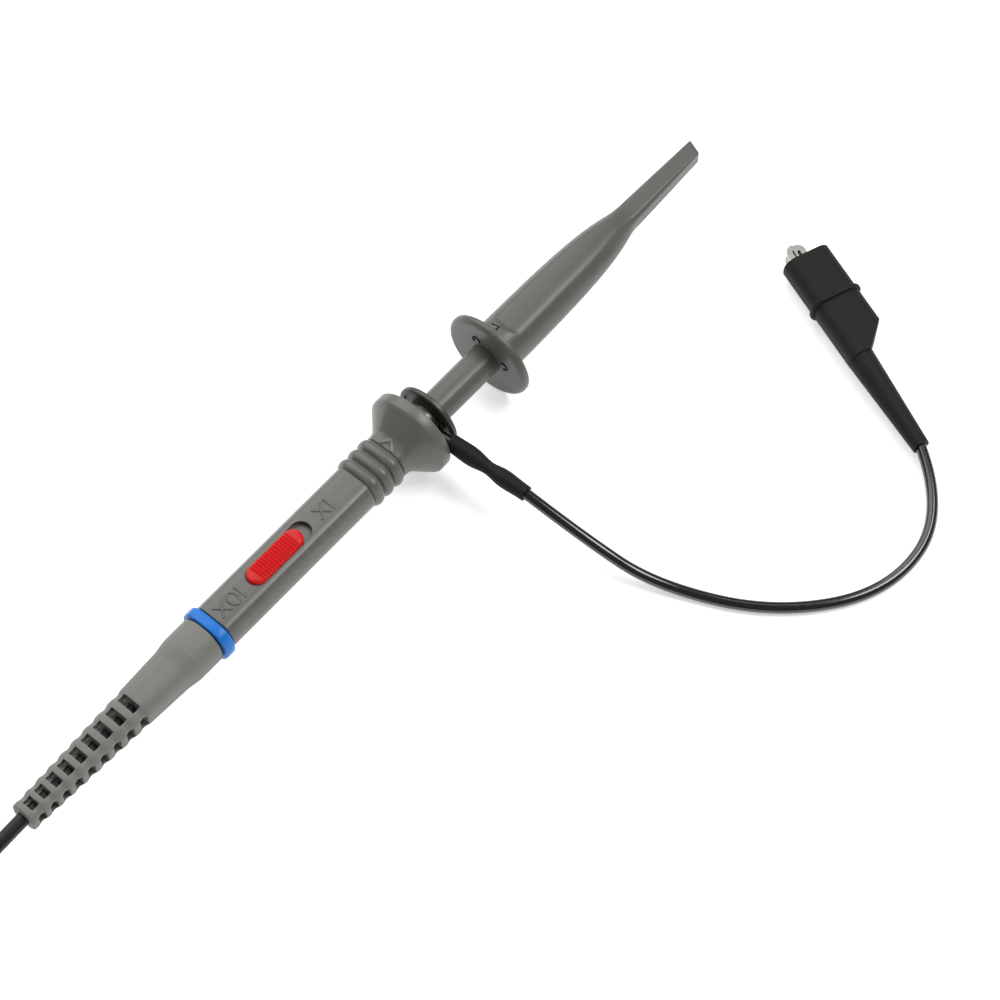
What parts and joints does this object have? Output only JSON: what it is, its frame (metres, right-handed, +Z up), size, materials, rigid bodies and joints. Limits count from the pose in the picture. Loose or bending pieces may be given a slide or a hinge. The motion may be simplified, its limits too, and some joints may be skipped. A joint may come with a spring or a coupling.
{
  "type": "oscilloscope probe",
  "caption": "Passive switchable oscilloscope probe with spring hook tip, swivelling ground lead with crocodile clip, and coiled cable ending in a BNC plug.",
  "frame": {"origin": "on the bench under the middle of the handle's length, from the cable relief's end to the hook sheath's tip", "axes": "+X along the handle to the hook tip, +Z up through the slide switch, ground lead to -Y"},
  "size_m": [0.3659, 0.1454, 0.0219],
  "materials": {
    "relief_grey": "soft moulded matt grey with fine grain",
    "handle_grey": "fine matt moulding texture, lightly worn",
    "marker_blue": "semi-gloss moulded ring",
    "switch_red": "semi-gloss moulded",
    "hook_grey": "fine matt moulding texture, lightly worn",
    "guard_dark": "dark olive, satin",
    "cable_black": "satin PVC jacket",
    "lead_black": "glossy PVC insulation",
    "rubber_black": "matt moulded rubber",
    "tie_black": "woven hook and loop strap",
    "connector_grey": "fine matt moulding texture",
    "nickel": "nickel plate, fine scratches",
    "spring_steel": "drawn wire",
    "gold_brass": "gold flash on brass",
    "dielectric_white": "waxy white fluoropolymer",
    "board_green": "glass epoxy board",
    "component_body": "lacquered component body"
  },
  "bodies": {
    "handle": {"strain_relief": "relief_grey", "cable_end": "cable_black", "cable_ferrule": "nickel", "cable_core": "dielectric_white", "marker_ring": "marker_blue", "body_shell": "handle_grey", "switch_bed": "handle_grey", "switch_pads": "gold_brass", "attenuator_board": "board_green", "attenuator_resistor": "component_body", "attenuator_capacitor": "component_body", "ground_barrel": "nickel", "nose_insulator": "dielectric_white", "needle_tip": "gold_brass", "cable": "cable_black", "cable_coil": "cable_black", "cable_plug_run": "cable_black", "cable_tie": "tie_black", "connector_boot": "rubber_black", "connector_marker_ring": "marker_blue", "connector_cable_end": "cable_black", "connector_housing": "connector_grey", "connector_board": "board_green", "trimmer_body": "component_body", "bnc_body": "nickel", "bnc_shell": "nickel", "bnc_insulator": "dielectric_white", "bnc_centre_pin": "gold_brass", "bnc_gasket": "rubber_black", "bnc_spring_washer": "spring_steel"},
    "switch": {"switch_knob": "switch_red", "switch_wiper": "gold_brass"},
    "socket": {"contact_socket": "gold_brass"},
    "carrier": {"hook_carrier": "hook_grey", "carrier_guard": "guard_dark", "hook_wire": "spring_steel", "hook_spring": "spring_steel"},
    "sheath": {"hook_sheath": "hook_grey"},
    "ground": {"ground_ring": "nickel", "lead_sleeve": "rubber_black", "ground_lead": "lead_black", "croc_boot": "rubber_black", "croc_jaw_fixed": "nickel", "croc_pin": "nickel", "croc_spring": "spring_steel"},
    "jaw": {"croc_jaw_moving": "nickel"},
    "nut": {"bnc_nut": "nickel"},
    "trimmer": {"trimmer_screw": "gold_brass"}
  },
  "joints": [
    {"name": "switch_slide", "type": "slide", "parent": "handle", "child": "switch", "axis": [1, 0, 0], "range_m": [0, 0.0026]},
    {"name": "hook_pull", "type": "slide", "parent": "handle", "child": "socket", "axis": [1, 0, 0], "range_m": [0, 0.048]},
    {"name": "hook_spin", "type": "hinge", "parent": "socket", "child": "carrier", "pos_m": [0.0345, 0, 0.01095], "axis": [1, 0, 0], "continuous": true},
    {"name": "sheath_retract", "type": "slide", "parent": "carrier", "child": "sheath", "axis": [-1, 0, 0], "range_m": [0, 0.0085], "stiffness_N_per_m": 250, "springref_m": -0.01, "deforming": ["hook_spring"]},
    {"name": "ground_swivel", "type": "hinge", "parent": "handle", "child": "ground", "pos_m": [0.0146, 0, 0.01095], "axis": [1, 0, 0], "continuous": true},
    {"name": "croc_jaw", "type": "hinge", "parent": "ground", "child": "jaw", "pos_m": [0.09942, -0.04616, 0.00415], "axis": [0, 0, -1], "range_deg": [0, 12], "stiffness_Nm_per_rad": 0.15, "springref_deg": -28.65},
    {"name": "nut_turn", "type": "hinge", "parent": "handle", "child": "nut", "pos_m": [-0.247, 0, 0.00788], "axis": [1, 0, 0], "range_deg": [0, 90]},
    {"name": "trimmer_turn", "type": "hinge", "parent": "handle", "child": "trimmer", "pos_m": [-0.223, 0, 0.01087], "axis": [0, 0, 1], "continuous": true}
  ]
}
